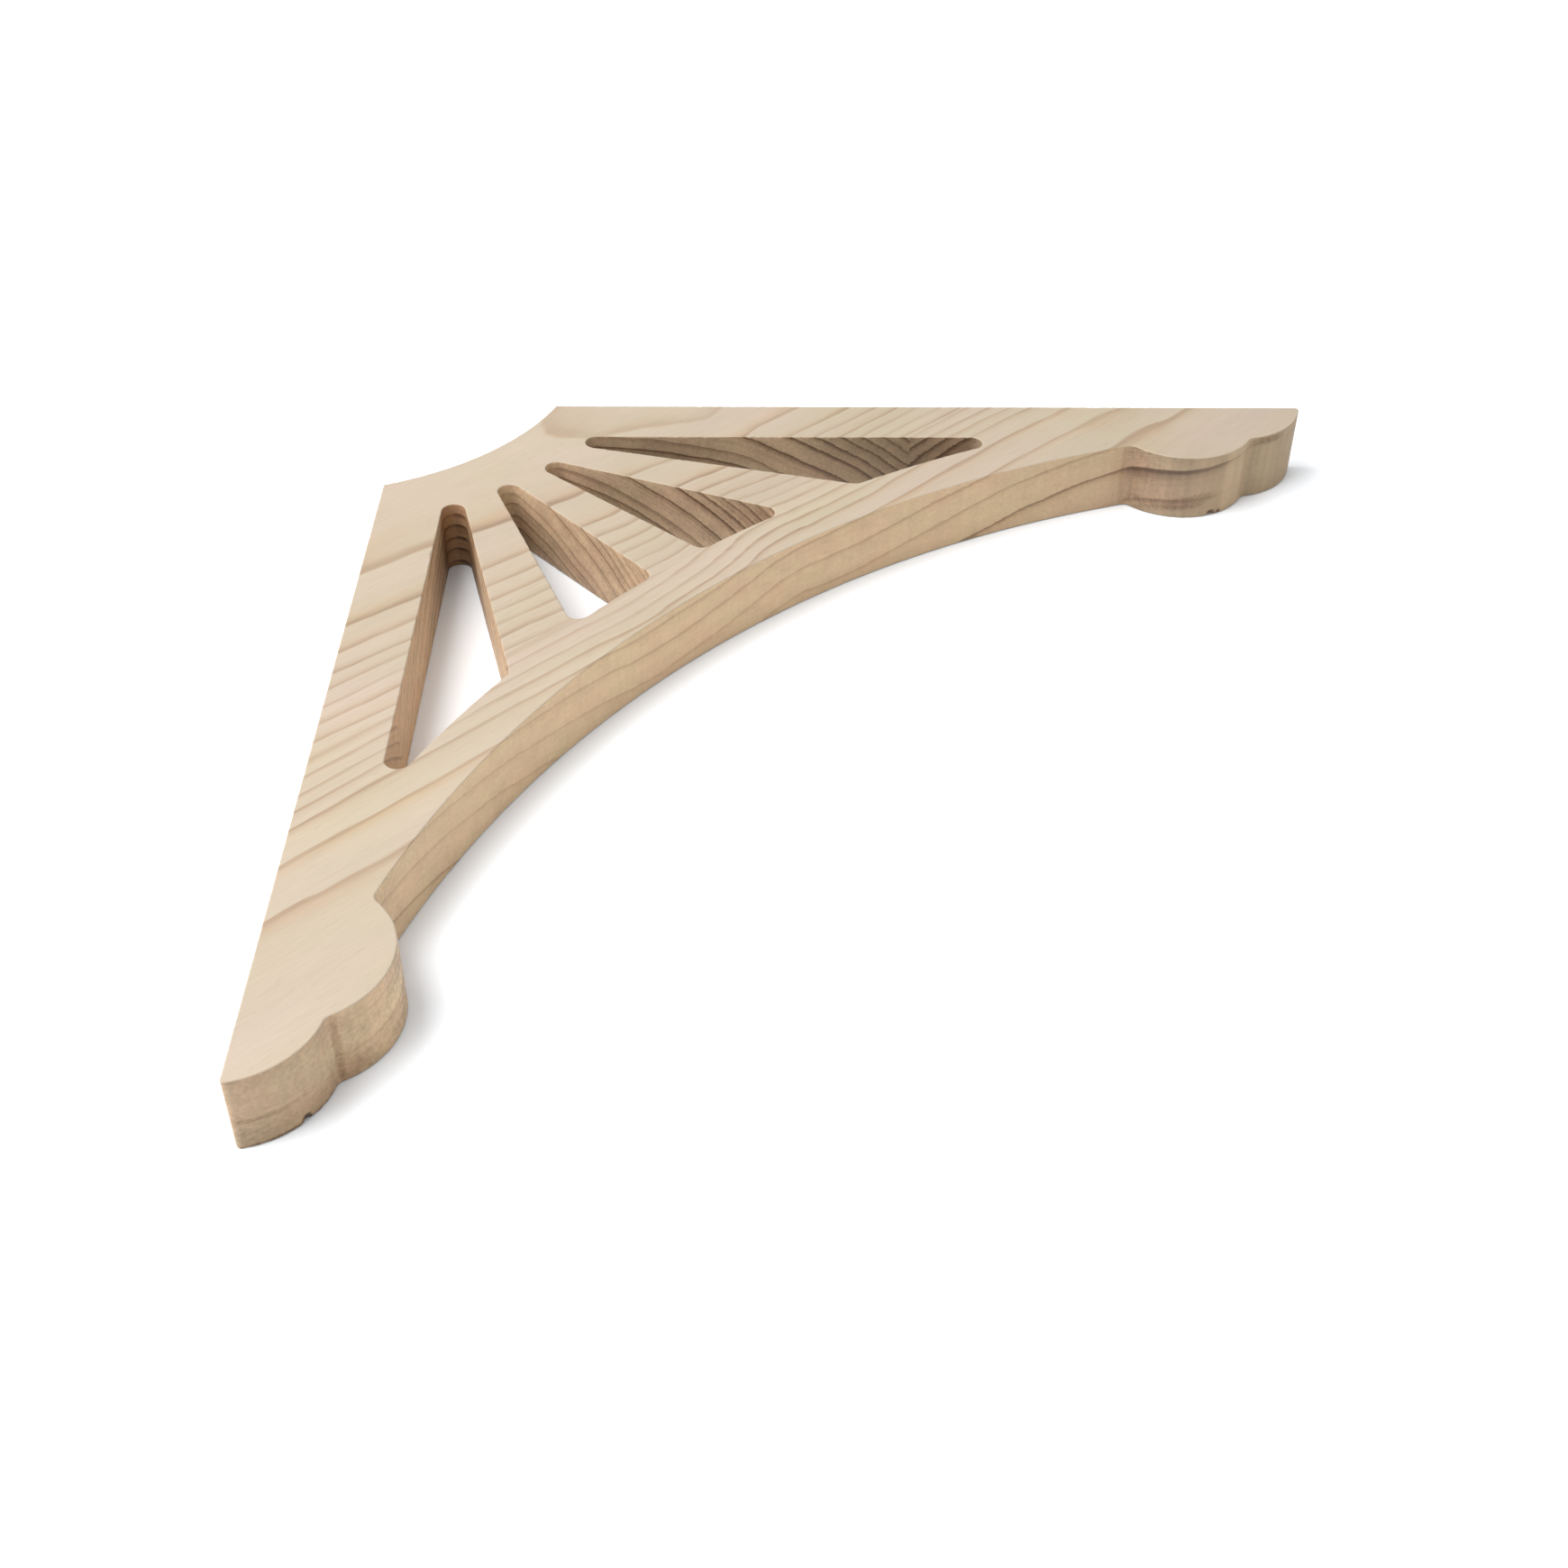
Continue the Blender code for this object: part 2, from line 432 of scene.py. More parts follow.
    # Painted shade, dark and warm, at the narrow end of the left slot
    slot_end_painted_shade: Curve = ((-290, 0.0), (-50, 0.0), (-45, 0.6), (-35, 0.6), (-30, 0.0), (290, 0.0))
    coarse: Curve = ((-290, 2.0), (-200, 2.0), (-180, 1.0), (170, 1.0), (195, 0.6), (226, 0.6),
                     (250, 1.0), (290, 1.1))
    plain_coarse: float = 0.9
    streaks: Curve = ((-290, 0.5), (-240, 0.5), (-190, 0.35), (180, 0.4), (200, 1.2), (290, 1.4))
    marks: tuple[Mark, ...] = (
        # Painted shade in the crease of the notch between the left lobes, full height
        Mark(-243.6, 1.6, 15.0, 17.0, 0.24),
        Mark(-239.0, 6.0, 6.0, 9.0, 0.12),
        # Darker towards the bottom of the left lobes' walls
        Mark(-252.0, 40.0, 3.0, 6.0, 0.12),
        Mark(-277.0, 20.0, 11.5, 1.0, 0.18),
        # Painted shadow: a thin dark contact line at the foot of the small left lobe
        Mark(-265.0, 20.0, 0.2, 1.2, 0.50),
        # Painted shade in the chip of the lower arris on the small left lobe
        Mark(-260.9, 2.0, 1.2, 2.4, 0.80),
        # Painted shade in the crease of the right heel, full height
        Mark(202.0, 3.5, 15.0, 17.0, 0.13),
        Mark(213.5, 11.0, 7.8, 3.4, 0.28, 0.25),
        # Painted shade in the two chips of the lower arris on the big right lobe
        Mark(223.1, 2.0, 0.9, 2.0, 0.80),
        Mark(226.8, 1.2, 0.8, 1.5, 0.70),
        # Painted shade in the crease of the notch between the right lobes, full height
        Mark(243.0, 3.0, 15.0, 17.0, 0.15),
        Mark(253.5, 9.0, 27.8, 1.8, 0.34),
    )
    mark_rim: float = 1.4
    mark_fray: float = 2.0

    @staticmethod
    def read(graph: Graph, points: Curve, value: Link, smooth: bool = False) -> Link:
        """Reads a curve of real values, given in the units of both of its axes.

        Args:
            graph: the material's tree.
            points: the curve's points, in order.
            value: where it is read.
            smooth: whether the curve is rounded at its points, and not straight between them.

        Returns:
            The curve's value there.
        """
        places, levels = np.array(points, float).T
        low, high, base = places[0], places[-1], levels.min()
        span = (levels.max() - base) or 1.0
        place = graph.add("MapRange", [value, low, high, 0.0, 1.0])
        scaled = list(zip((places - low) / (high - low), (levels - base) / span))
        level = graph.add("FloatCurve", {"Value": place}, curve=scaled, smooth=smooth)
        return graph.add("Math MULTIPLY_ADD", [level, span, base])

    @staticmethod
    def figure(graph: Graph, figure: Figure, place: Link) -> Link:
        """Lays a pattern of noise, with its grains as many in 100 mm as it says.

        Args:
            graph: the material's tree.
            figure: the pattern.
            place: the place that it reads, in millimetres.

        Returns:
            The noise, mostly from its low value to its high one.
        """
        scale = [count / 100.0 for count in figure.counts]
        where = graph.add("Mapping", {"Vector": place, "Scale": scale})
        value = graph.add("TexNoise", {"Vector": where, "Scale": 1.0, "Detail": figure.detail})
        levels = [NOISE_LOW, NOISE_HIGH, figure.low, figure.high]
        return graph.add("MapRange", [value, *levels], clamp=False)

    def spot(self, graph: Graph) -> Spot:
        """Works out where each point lies and what it is part of.

        Object coordinates are turned by 45 degrees to lie along the fibre, moved to start at the
        outer corner, and counted in millimetres. The fibre's share of the surface's normal is
        (x + y) / root 2. A point is seen where it lies deeper inside the two straight edges, that
        is across less the size of along, and farther across than the hollow.

        Args:
            graph: the material's tree.

        Returns:
            The point's place and its shares.
        """
        add = graph.add
        place = add("Mapping", {
            "Vector": add("TexCoord", out="Object"), "Location": (0.0, self.corner_to_centre, 0.0),
            "Rotation": (0.0, 0.0, math.radians(45)), "Scale": (1 / MM, -1 / MM, 1 / MM)})
        along, across, height = (add("SeparateXYZ", [place], out=axis) for axis in range(3))
        far = add("Math GREATER_THAN", [across, self.glue_line])

        normal = add("TexCoord", out="Normal")
        fibre_way = (math.sqrt(0.5), math.sqrt(0.5), 0.0)
        fibre = add("VectorMath DOT_PRODUCT", [normal, fibre_way], out="Value")
        fibre = add("Math ABSOLUTE", [fibre])
        end = add("MapRange", [fibre, *self.end_grain], **SMOOTH_STEP)
        rise = add("Math ABSOLUTE", [add("SeparateXYZ", [normal], out=2)])
        wall = add("MapRange", [rise, *self.upright], **SMOOTH_STEP)

        aside = add("Math ABSOLUTE", [along])
        inward = add("Math SUBTRACT", [across, aside])
        inward = add("MapRange", [inward, *self.off_edge])
        past_hollow = add("MapRange", [across, *self.off_hollow])
        seen = add("Math MULTIPLY", [inward, past_hollow])
        arch_wall = self.read(graph, self.arch_from, along, smooth=True)
        arch = add("Math GREATER_THAN", [across, arch_wall])
        outer = add("Math MULTIPLY", [arch, seen])
        seen_wall = add("Math MULTIPLY", [wall, seen])
        inner = add("Math SUBTRACT", [1.0, arch])
        in_slot = add("Math MULTIPLY", [seen_wall, inner])
        return Spot(place, along, across, height, far, wall, end, seen, arch, outer, in_slot)

    def growth(
        self, graph: Graph, stave: Stave, along: Link, across: Link, height: Link
    ) -> tuple[Link, Link, Link]:
        """Works out how dark and how warm a stave's rings are at each point, and how far the pith is.

        The radius is the distance from the pith: the square root of (across - pith - wander) squared
        plus (height - thickness + depth) squared. A curve through the rings' radii turns it into a
        ring number, whose whole part names the ring, and whose fraction times the ring's width is
        how far the point lies from the two rings' edges. The dark wood fades slowly towards the
        pith and ends sharply towards the bark.

        Args:
            graph: the material's tree.
            stave: the stave.
            along: distance along the fibre.
            across: distance across the fibre, as the grain strays.
            height: height above the underside, as the grain strays.

        Returns:
            How dark the wood is and how warm, both from 0 to 1, and the radius.
        """
        add = graph.add
        aside = self.read(graph, stave.wander, along, smooth=True)
        below = self.read(graph, stave.depth, along, smooth=True)
        level = add("Math SUBTRACT", [height, THICKNESS_MM])
        level = add("Math ADD", [level, below])
        offset = add("Math SUBTRACT", [across, stave.pith])
        offset = add("Math SUBTRACT", [offset, aside])
        square = add("Math MULTIPLY", [offset, offset])
        square = add("Math MULTIPLY_ADD", [level, level, square])
        radius = add("Math SQRT", [square])

        radii, strengths = np.array(stave.rings, float).T
        count = np.arange(float(radii.size))
        number = self.read(graph, list(zip(radii, count)), radius)
        whole = add("Math FLOOR", [number])
        part = add("Math SUBTRACT", [number, whole])
        rest = add("Math SUBTRACT", [1.0, part])
        next_ring = add("Math ADD", [whole, 1.0])
        width = self.read(graph, list(zip(count, np.append(np.diff(radii), self.last_ring))), whole)
        after = self.read(graph, list(zip(count, strengths)), next_ring)
        before = self.read(graph, list(zip(count, strengths)), whole)
        spread = self.read(graph, stave.bleed, along)
        to_bark = add("Math MULTIPLY", [rest, width])
        to_bark = add("Math DIVIDE", [to_bark, spread])
        to_pith = add("Math MULTIPLY", [part, width])
        to_pith = add("Math DIVIDE", [to_pith, spread])

        rising = add("Math MULTIPLY", [self.read(graph, self.fade, to_bark), after])
        edge = add("MapRange", [to_pith, *self.bark_side], **SMOOTH_STEP)
        ending = add("Math MULTIPLY", [edge, before])
        leading = add("Math MULTIPLY", [self.read(graph, self.lead, to_bark), after])
        wide = add("MapRange", [width, *self.ring_warmth])
        leading = add("Math MULTIPLY", [leading, wide])
        dark = add("Math MAXIMUM", [rising, ending])
        warm = add("Math MAXIMUM", [leading, ending])
        return dark, warm, radius

    def rings(self, graph: Graph, spot: Spot) -> tuple[Link, Link]:
        """Works out how dark and how warm the wood is, through both staves.

        End grain broadens the dark lines, by raising them to a power below 1, and thin bands along
        each ring are added to them. On the planed faces the lines come and go in patches, and on
        the walls they are as clear as each stave says.

        Args:
            graph: the material's tree.
            spot: where the point lies.

        Returns:
            How dark the wood is and how warm.
        """
        add = graph.add
        figures = (self.swing, self.fray, self.lift, self.patchy, self.drift)
        swing, fray, lift, patchy, drift = (
            self.figure(graph, figure, spot.place) for figure in figures
        )
        across = add("Math ADD", [spot.across, swing])
        across = add("Math ADD", [across, fray])
        height = add("Math ADD", [spot.height, lift])
        layers = []
        for lie in Lie:
            stave = STAVES[lie]
            dark, warm, radius = self.growth(graph, stave, spot.along, across, height)
            place = add("CombineXYZ", [spot.along, radius, stave.pith])
            fine = self.figure(graph, self.fine, place)
            layers.append((dark, warm, fine, self.read(graph, stave.cut, spot.along)))
        corner, arch = layers
        dark, warm, fine, cut = (
            add("Mix", {0: spot.far, 2: near, 3: far}) for near, far in zip(corner, arch)
        )

        clear = add("Mix", {0: spot.wall, 2: patchy, 3: cut})
        crisp = add("Math MULTIPLY", [spot.in_slot, spot.far])
        crisp = add("Math MULTIPLY_ADD", [crisp, self.slot_crisp, 1.0])
        clear = add("Math MULTIPLY", [clear, crisp])
        end_wall = add("Math MULTIPLY", [spot.end, spot.wall])
        broad = add("Math MULTIPLY_ADD", [end_wall, self.broad_end, 1.0])
        dark = add("Math POWER", [dark, broad])
        dark = add("Math MULTIPLY", [dark, clear])
        along_fibre, more_on_end = self.fine_bands
        bands = add("Math MULTIPLY_ADD", [end_wall, more_on_end, along_fibre])
        dark = add("Math MULTIPLY_ADD", [fine, bands, dark])
        warm = add("Math MULTIPLY", [warm, drift])
        return dark, add("Math MULTIPLY", [warm, clear])

    def colour(self, graph: Graph, spot: Spot, dark: Link, warm: Link) -> Link:
        """Mixes the wood's colours, and tinges them with broad greenish and reddish patches.

        Args:
            graph: the material's tree.
            spot: where the point lies.
            dark: how dark the wood is.
            warm: how warm it is.

        Returns:
            The colour, before its light and shade.
        """
        add = graph.add
        woods = []
        for shades in (self.early, self.tint, self.late):
            side = add("Mix", {0: spot.end, 6: linear(shades.side), 7: linear(shades.end)}, **COLOURS)
            woods.append(add("Mix", {0: spot.wall, 6: linear(shades.face), 7: side}, **COLOURS))
        early, tint, late = woods
        colour = add("Mix", {0: warm, 6: early, 7: tint}, **COLOURS)
        colour = add("Mix", {0: dark, 6: colour, 7: late}, **COLOURS)
        patches = []
        for figure, (green, red) in ((self.cast, self.casts), (self.stain, self.stains)):
            share = self.figure(graph, figure, spot.place)
            patches.append(add("Mix", {0: share, 6: linear(green), 7: linear(red)}, **COLOURS))
        stained = add("Math MULTIPLY", [spot.wall, self.stain_share])
        tinge = add("Mix", {0: stained, 6: patches[0], 7: patches[1]}, **COLOURS)
        return add("Mix", {0: self.cast_share, 6: colour, 7: tinge}, **MULTIPLIED)

    def dull(self, graph: Graph, mark: Mark, spot: Spot, grain: Link) -> Link:
        """Works out how much a mark darkens each point.

        Its distance from the mark's middle, counted in the mark's half sizes, is squared along the
        fibre and cubed upwards. A smooth step of the sum, frayed by the noise, takes the mark from
        its full strength to nothing.

        Args:
            graph: the material's tree.
            mark: the mark.
            spot: where the point lies.
            grain: noise that frays the mark's rim.

        Returns:
            The loss of tone.
        """
        add = graph.add
        aside = add("Math SUBTRACT", [spot.along, mark.along])
        aside = add("Math DIVIDE", [aside, mark.half_along])
        climb = mark.slope * mark.half_along
        level = add("Math MULTIPLY_ADD", [aside, climb, mark.height])
        above = add("Math SUBTRACT", [spot.height, level])
        above = add("Math DIVIDE", [above, mark.half_height])
        above = add("Math ABSOLUTE", [above])
        steep = add("Math POWER", [above, 3.0])
        away = add("Math MULTIPLY_ADD", [aside, aside, steep])
        away = add("Math MULTIPLY_ADD", [grain, self.mark_fray, away])
        return add("MapRange", [away, 0.0, self.mark_rim, mark.strength, 0.0], **SMOOTH_STEP)

    def marks_and_painted_shade(self, graph: Graph, spot: Spot, grain: Link) -> Link:
        """Sums the marks on the arch's and the lobes' walls, painted shade among them.

        Args:
            graph: the material's tree.
            spot: where the point lies.
            grain: noise that frays the marks' rims.

        Returns:
            The loss of tone.
        """
        first, *others = (self.dull(graph, mark, spot, grain) for mark in self.marks)
        total = first
        for loss in others:
            total = graph.add("Math ADD", [total, loss])
        return graph.add("Math MULTIPLY", [total, spot.outer])

    def tone(self, graph: Graph, spot: Spot, pores: Link, marks_and_painted_shade: Link) -> Link:
        """Works out how light the wood is.

        On the planed faces it is 1, give or take the fibres, the broad patches and the resin
        canals. On the walls the roughness of the cut is added and the marks and painted shade
        taken off, and the whole is multiplied by the wall's tone at each station along the fibre,
        partly its own and partly painted light and shade.

        Args:
            graph: the material's tree.
            spot: where the point lies.
            pores: noise of the open pores.
            marks_and_painted_shade: loss of tone by marks and painted shade.

        Returns:
            What the colour is multiplied by.
        """
        add = graph.add
        figures = (self.fibres, self.broad_tone, self.canals, self.specks, self.mottle, self.dwell)
        fibres, broad, canals, specks, mottle, dwell = (
            self.figure(graph, figure, spot.place) for figure in figures
        )
        tone = add("Math MULTIPLY_ADD", [spot.far, self.arch_lift, 1.0])
        tone = add("Math ADD", [tone, fibres])
        tone = add("Math ADD", [tone, broad])
        tone = add("Math SUBTRACT", [tone, add("MapRange", [canals, *self.canal_depth])])

        rough = add("Math ADD", [pores, mottle])
        rough = add("Math SUBTRACT", [rough, add("MapRange", [specks, *self.speck_depth])])
        seen_coarse = self.read(graph, self.coarse, spot.along)
        coarse = add("Mix", {0: spot.seen, 2: self.plain_coarse, 3: seen_coarse})
        along_fibre, more_on_end = self.open_cells
        cells = add("Math MULTIPLY_ADD", [spot.end, more_on_end, along_fibre])
        cells = add("Math MULTIPLY", [cells, coarse])
        rough = add("Math MULTIPLY", [rough, cells])
        streaks = self.read(graph, self.streaks, spot.along)
        rough = add("Math MULTIPLY_ADD", [dwell, streaks, rough])
        rough = add("Math SUBTRACT", [rough, marks_and_painted_shade])
        rough = add("Math MULTIPLY", [rough, spot.wall])
        tone = add("Math ADD", [tone, rough])

        # Painted light and shade, in part: the walls' tone along the fibre
        slot_tone_and_painted_shade = self.read(graph, self.slot_tone_and_painted_shade, spot.along, smooth=True)
        arch_tone_and_painted_shade = self.read(graph, self.arch_tone_and_painted_shade, spot.along, smooth=True)
        shade = add("Mix", {0: spot.arch, 2: slot_tone_and_painted_shade, 3: arch_tone_and_painted_shade})
        shade = add("Mix", {0: spot.seen, 2: self.plain_shade, 3: shade})
        shade = add("Mix", {0: spot.wall, 2: 1.0, 3: shade})
        return add("Math MULTIPLY", [tone, shade])

    def make(self) -> bpy.types.Material:
        """Builds the material.

        Returns:
            The pine, ready to be given to the board.
        """
        material = bpy.data.materials.new(self.name)
        graph = Graph(material)
        add = graph.add
        spot = self.spot(graph)
        dark, warm = self.rings(graph, spot)
        pores = self.figure(graph, self.pores, spot.place)
        marks_and_painted_shade = self.marks_and_painted_shade(graph, spot, pores)

        # Browning by the marks and by painted shade: the creases, the chips, the foot and the narrow
        # end of the left slot
        browning_by_marks_and_painted_shade = add("Math MULTIPLY", [marks_and_painted_shade, spot.wall])
        slot_end_painted_shade = self.read(graph, self.slot_end_painted_shade, spot.along)
        browning_by_marks_and_painted_shade = add("Math MULTIPLY_ADD", [spot.in_slot, slot_end_painted_shade, browning_by_marks_and_painted_shade])
        colour = self.colour(graph, spot, dark, warm)
        colour = add("Mix", {0: browning_by_marks_and_painted_shade, 6: colour, 7: linear(self.brown_of_marks_and_painted_shade)}, **MULTIPLIED)
        tone = self.tone(graph, spot, pores, marks_and_painted_shade)
        colour = add("VectorMath MULTIPLY", [colour, tone])
        roughness = add("MapRange", [dark, 0.0, 1.0, self.early_roughness, self.late_roughness])
        shader = add("BsdfPrincipled", {
            "Base Color": colour, "IOR": self.ior, "Metallic": 0.0, "Roughness": roughness})
        add("OutputMaterial", {"Surface": shader})
        return material


@dataclass(frozen=True)
class MattPaper:
    """White paper sweep, matt: it gives the eye a clean pale ground with soft shadows.

    Attributes:
        name: the material's name.
        colour: the paper's colour.
        roughness: its roughness, nearly without sheen.
    """

    name: str = "matt_white_paper"
    colour: str = "e8ebee"
    roughness: float = 0.9

    def make(self) -> bpy.types.Material:
        """Builds the material.

        Returns:
            The paper, ready to be given to the floor.
        """
        material = bpy.data.materials.new(self.name)
        graph = Graph(material)
        shader = graph.add("BsdfPrincipled", {
            "Base Color": linear(self.colour), "Roughness": self.roughness})
        graph.add("OutputMaterial", {"Surface": shader})
        return material


def arc(centre: complex, radius: float, start: complex, end: complex) -> Plan:
    """Points on a circle from start to end, the short way round.

    Each point is centre + radius times the unit number at an angle, and the angles are evenly
    spaced, no further apart than TURN nor than STEP along the circle.

    Args:
        centre: the circle's centre.
        radius: its radius.
        start: a point in the direction of the first one.
        end: a point in the direction of the last one.

    Returns:
        The points, both ends among them.
    """
    first = np.angle(start - centre)
    sweep = np.angle((end - centre) / (start - centre))
    count = int(max(2, math.ceil(abs(sweep) / TURN), math.ceil(abs(sweep) * radius / STEP)))
    return centre + radius * np.exp(1j * (first + sweep * np.linspace(0.0, 1.0, count + 1)))


def circles_meet(
    centre_a: complex, radius_a: float, centre_b: complex, radius_b: float, near: complex
) -> complex:
    """The point where two circles cross.

    It lies (apart squared + radius_a squared - radius_b squared) / (2 apart) along the line of
    centres, and as far aside as makes its distance from the first centre radius_a.

    Args:
        centre_a: first centre.
        radius_a: first radius.
        centre_b: second centre.
        radius_b: second radius.
        near: the crossing on this point's side is meant.

    Returns:
        The crossing.
    """
    apart = abs(centre_b - centre_a)
    way = (centre_b - centre_a) / apart
    along = (apart**2 + radius_a**2 - radius_b**2) / (2 * apart)
    aside = math.sqrt(radius_a**2 - along**2)
    crossings = [centre_a + way * (along + side * 1j * aside) for side in (1, -1)]
    return min(crossings, key=lambda p: abs(p - near))


def closed(parts: Sequence[Plan]) -> Plan:
    """Joins stretches end to end, fills long straight gaps at STEP, and drops doubled points.

    A gap of n steps gets its start plus 0, 1, 2 and so on up to n - 1 times an nth of the gap.

    Args:
        parts: the stretches, in order once round.

    Returns:
        The loop, without its first point repeated.
    """
    points = np.concatenate(parts)
    points = points[np.abs(np.roll(points, -1) - points) > SAME_POINT]
    ahead = np.roll(points, -1)
    counts = np.maximum(1, np.ceil(np.abs(ahead - points) / STEP)).astype(int)
    start = np.repeat(points, counts)
    way = np.repeat((ahead - points) / counts, counts)
    within = np.arange(counts.sum()) - np.repeat(np.cumsum(counts) - counts, counts)
    return start + way * within


def area(loop: Plan) -> float:
    """Signed area of a loop: half the sum of the cross products of neighbours, plus anticlockwise."""
    return float(0.5 * np.sum((np.conj(loop) * np.roll(loop, -1)).imag))


def inside(points: Plan, loop: Plan) -> np.ndarray:
    """Tells which points a loop goes round: those from which a ray crosses it an odd number of times.

    Args:
        points: the points.
        loop: the loop.

    Returns:
        True for each point inside.
    """
    ahead = np.roll(loop, -1)
    level = points.imag[:, None]
    spans = (loop.imag > level) != (ahead.imag > level)
    rise = np.where(ahead.imag == loop.imag, 1.0, ahead.imag - loop.imag)
    crossing = loop.real + (level - loop.imag) * (ahead.real - loop.real) / rise
    return (spans & (points.real[:, None] < crossing)).sum(axis=1) % 2 == 1


def smooth_noise(length: float, place: np.ndarray, wave: float, seed: int) -> np.ndarray:
    """A smooth random curve that closes on itself.

    It is a sum of cosines, one for each whole number k of waves round the length up to
    length / wave, with a random weight and phase, scaled to a spread of 1.

    Args:
        length: distance once round, in metres.
        place: distances at which the curve is read, in metres.
        wave: shortest wave, in metres.
        seed: number that fixes the random weights.

    Returns:
        The curve's height at each distance.
    """
    draw = np.random.default_rng(seed)
    waves = np.arange(1, max(2, int(length / wave)) + 1)
    weight = draw.normal(size=waves.size)
    phase = draw.uniform(0.0, 2 * math.pi, size=waves.size)
    height = np.cos(2 * math.pi * np.outer(place, waves) / length + phase) @ weight
    return height / math.sqrt(0.5 * waves.size)


@dataclass
class BracketPlan:
    """The board's plan: its edge and its four slots, alike on both sides of the diagonal.

    A plan point is a complex number measured from the outer corner, where the two straight edges
    would meet: the real part runs along the beam edge, and the imaginary part towards it.

    Attributes:
        leg: length of a leg.
        hollow_radius, hollow_outset: radius of the hollow across the outer corner, and how far its
            centre lies outside each straight edge.
        hollow_corner: radius where it meets an edge.
        arch_radius, arch_inset: radius of the arch between the legs, and how far its centre lies
            inside each straight edge.
        arch_band: width of the wood between the arch and the slots.
        lobe_radius, big_lobe, end_lobe: radius and centres of the two lobes that end a leg.
        notch_radius: radius of the notch between them, and of the one between lobe and arch.
        tip_radius: radius of the leg's tip.
        slot_corner: radius of the slots' corners.
        outer_slot, inner_slot: a slot's upper and lower side, each as its angle in degrees below
            the beam edge and its distance below the outer corner.
    """

    leg: float = 0.400
    hollow_radius: float = 0.117
    hollow_outset: float = 0.042
    hollow_corner: float = 0.0008
    arch_radius: float = 0.433
    arch_inset: float = 0.4474
    arch_band: float = 0.0222
    lobe_radius: float = 0.032
    big_lobe: complex = 0.3453 - 0.0124j
    end_lobe: complex = 0.3686 + 0.0047j
    notch_radius: float = 0.004
    tip_radius: float = 0.0015
    slot_corner: float = 0.0048
    outer_slot: Curve = ((0.0, 0.0269), (14.5, 0.0136))
    inner_slot: Curve = ((21.8, 0.0180), (41.85, -0.0034))

    @property
    def arch_centre(self) -> complex:
        """Centre of the arch between the legs."""
        return self.arch_inset * (1 - 1j)

    @staticmethod
    def mirrored(points: Plan) -> Plan:
        """The same stretch on the other side of the diagonal, run the other way."""
        return -1j * np.conj(points[::-1])

    def half_edge(self) -> Plan:
        """The edge from the middle of the hollow, round the beam leg, to the middle of the arch.

        It is a chain of arcs, each touching the next. An arc that rounds a corner between the
        straight edge and a circle has its centre one radius inside the edge, and its distance from
        the circle's centre is the sum of the two radii, or their difference if it lies within. The
        notches' centres are where two such circles cross.

        Returns:
            The points in order.
        """
        diagonal = (1 - 1j) / math.sqrt(2)
        hollow = self.hollow_outset * (-1 + 1j)
        reach = self.hollow_radius + self.hollow_corner
        drop = hollow.imag + self.hollow_corner
        corner = complex(hollow.real + math.sqrt(reach**2 - drop**2), -self.hollow_corner)
        hollow_end = hollow + (corner - hollow) / abs(corner - hollow) * self.hollow_radius
        parts = [arc(hollow, self.hollow_radius, hollow + diagonal, hollow_end),
                 arc(corner, self.hollow_corner, hollow_end, complex(corner.real, 0.0))]

        radius, notch_radius = self.lobe_radius, self.notch_radius
        tip_reach = radius - self.tip_radius
        tip_drop = self.end_lobe.imag + self.tip_radius
        tip = complex(self.end_lobe.real + math.sqrt(tip_reach**2 - tip_drop**2), -self.tip_radius)
        tip_end = self.end_lobe + (tip - self.end_lobe) / abs(tip - self.end_lobe) * radius
        parts.append(arc(tip, self.tip_radius, complex(tip.real, 0.0), tip_end))

        reach = radius + notch_radius
        notch = circles_meet(self.end_lobe, reach, self.big_lobe, reach, self.arch_centre)
        heel_reach = self.arch_radius - notch_radius
        heel = circles_meet(self.big_lobe, reach, self.arch_centre, heel_reach, 0j)
        parts.append(arc(self.end_lobe, radius, tip_end, notch))
        parts.append(arc(notch, notch_radius, self.end_lobe, self.big_lobe))
        parts.append(arc(self.big_lobe, radius, notch, heel))
        heel_end = heel + (heel - self.arch_centre)
        parts.append(arc(heel, notch_radius, self.big_lobe, heel_end))
        parts.append(arc(self.arch_centre, self.arch_radius, heel, self.arch_centre - diagonal))
        return np.concatenate(parts)

    def edge(self) -> Plan:
        """The whole outer edge, once round."""
        half = self.half_edge()
        return closed([half, self.mirrored(half)])

    def slot(self, sides: Curve) -> Plan:
        """A tapered slot between two straight sides and an arc beside the arch, with round corners.

        Each side is moved in by the corner's radius. Where the moved sides meet, and where each
        enters the circle round the arch's centre that lies a radius beyond the slot's wide end,
        are the corners' centres.

        Args:
            sides: angle in degrees and distance of its upper and its lower side.

        Returns:
            The slot's edge, once round.
        """
        corner = self.slot_corner
        ways = [np.exp(-1j * math.radians(angle)) for angle, _ in sides]
        insets = [sides[0][1] + corner, sides[1][1] - corner]
        base = self.arch_radius + self.arch_band
        middles = []
        for way, inset in zip(ways, insets):
            start = -1j * way * inset
            to_centre = (self.arch_centre - start) / way
            run = to_centre.real - math.sqrt((base + corner) ** 2 - to_centre.imag**2)
            middles.append(start + way * run)
        turn = (ways[1] / ways[0]).imag
        lean = (np.conj(ways[1]) * (-1j) * (ways[0] * insets[0] - ways[1] * insets[1])).imag
        narrow = -1j * ways[0] * insets[0] + ways[0] * (lean / turn)
        upper, lower = middles
        above, below = 1j * ways[0], -1j * ways[1]
        return closed([
            arc(upper, corner, upper + above, self.arch_centre),
            arc(self.arch_centre, base, upper, lower),
            arc(lower, corner, self.arch_centre, lower + below),
            arc(narrow, corner, narrow + below, narrow - ways[0]),
            arc(narrow, corner, narrow - ways[0], narrow + above),
        ])

